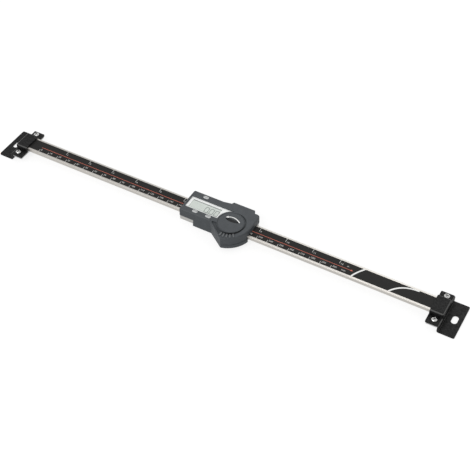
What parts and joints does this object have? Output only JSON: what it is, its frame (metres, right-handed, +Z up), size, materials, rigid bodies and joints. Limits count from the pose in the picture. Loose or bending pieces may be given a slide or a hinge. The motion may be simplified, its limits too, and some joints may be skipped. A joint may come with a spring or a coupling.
{
  "type": "digital linear scale",
  "caption": "Flat steel beam with a printed scale between two stepped end brackets, carrying a sliding electronic reading head with a display, keys and a turning battery cover.",
  "frame": {"origin": "on the mounting plane under the beam, midway between the two mounting slots", "axes": "+X along the beam towards the high end of the printed scale, +Y to the beam's back edge, +Z up from the mounting plane to the display"},
  "size_m": [0.4534, 0.0437, 0.0187],
  "materials": {
    "rail_steel": "ground along its length, satin",
    "label_black": "printed black film, semi-matt",
    "grid_board": "etched copper on board",
    "bracket_black": "fine-textured black paint",
    "screw_steel": "bright zinc plate",
    "clamp_steel": "plain steel",
    "carriage_alloy": "satin cast alloy, machined on its faces",
    "gib_brass": "drawn strip",
    "housing_grey": "moulded, fine spark texture",
    "cover_grey": "moulded, fine spark texture",
    "button_grey": "soft-touch, semi-matt",
    "lens_clear": "clear, polished",
    "display_glass": "reflective grey-green",
    "bezel_white": "smooth",
    "board_green": "solder resist",
    "contact_rubber": "layered conductive rubber",
    "contact_steel": "nickel plate",
    "cell_steel": "stainless can",
    "connector_black": "moulded"
  },
  "bodies": {
    "rail": {"beam": "rail_steel", "grid_strip": "grid_board", "scale_label": "label_black", "left_end_bracket": "bracket_black", "right_end_bracket": "bracket_black", "left_clamp_bar": "clamp_steel", "right_clamp_bar": "clamp_steel", "left_clamp_screws": "screw_steel", "right_clamp_screws": "screw_steel"},
    "head": {"slider_frame": "carriage_alloy", "base_plate": "carriage_alloy", "base_plate_screws": "screw_steel", "housing_screws": "screw_steel", "gib_strip": "gib_brass", "gib_screws": "clamp_steel", "housing": "housing_grey", "sensor_board": "board_green", "circuit_board": "board_green", "zebra_strips": "contact_rubber", "lcd_panel": "display_glass", "lcd_bezel": "bezel_white", "lcd_lens": "lens_clear", "key_domes": "contact_steel", "battery": "cell_steel", "battery_leaf": "contact_steel", "battery_side_contact": "contact_steel", "port_connector": "connector_black"},
    "units_key": {"units_button": "button_grey"},
    "power_key": {"power_button": "button_grey"},
    "zero_key": {"zero_button": "button_grey"},
    "cell_cover": {"battery_cover": "cover_grey"},
    "data_port_cover": {"port_cover": "cover_grey"}
  },
  "joints": [
    {"name": "head_slide", "type": "slide", "parent": "rail", "child": "head", "axis": [1, 0, 0], "range_m": [-0.1687, 0.1663]},
    {"name": "units_press", "type": "slide", "parent": "head", "child": "units_key", "axis": [0, 0, -1], "range_m": [0, 0.0004], "stiffness_N_per_m": 600},
    {"name": "power_press", "type": "slide", "parent": "head", "child": "power_key", "axis": [0, 0, -1], "range_m": [0, 0.0004], "stiffness_N_per_m": 600},
    {"name": "zero_press", "type": "slide", "parent": "head", "child": "zero_key", "axis": [0, 0, -1], "range_m": [0, 0.0004], "stiffness_N_per_m": 600},
    {"name": "cover_turn", "type": "hinge", "parent": "head", "child": "cell_cover", "pos_m": [0.016, -0.0063, 0.01735], "axis": [0, 0, 1], "range_deg": [0, 40]},
    {"name": "port_cover_pull", "type": "slide", "parent": "head", "child": "data_port_cover", "axis": [0, 1, 0], "range_m": [0, 0.008]}
  ]
}
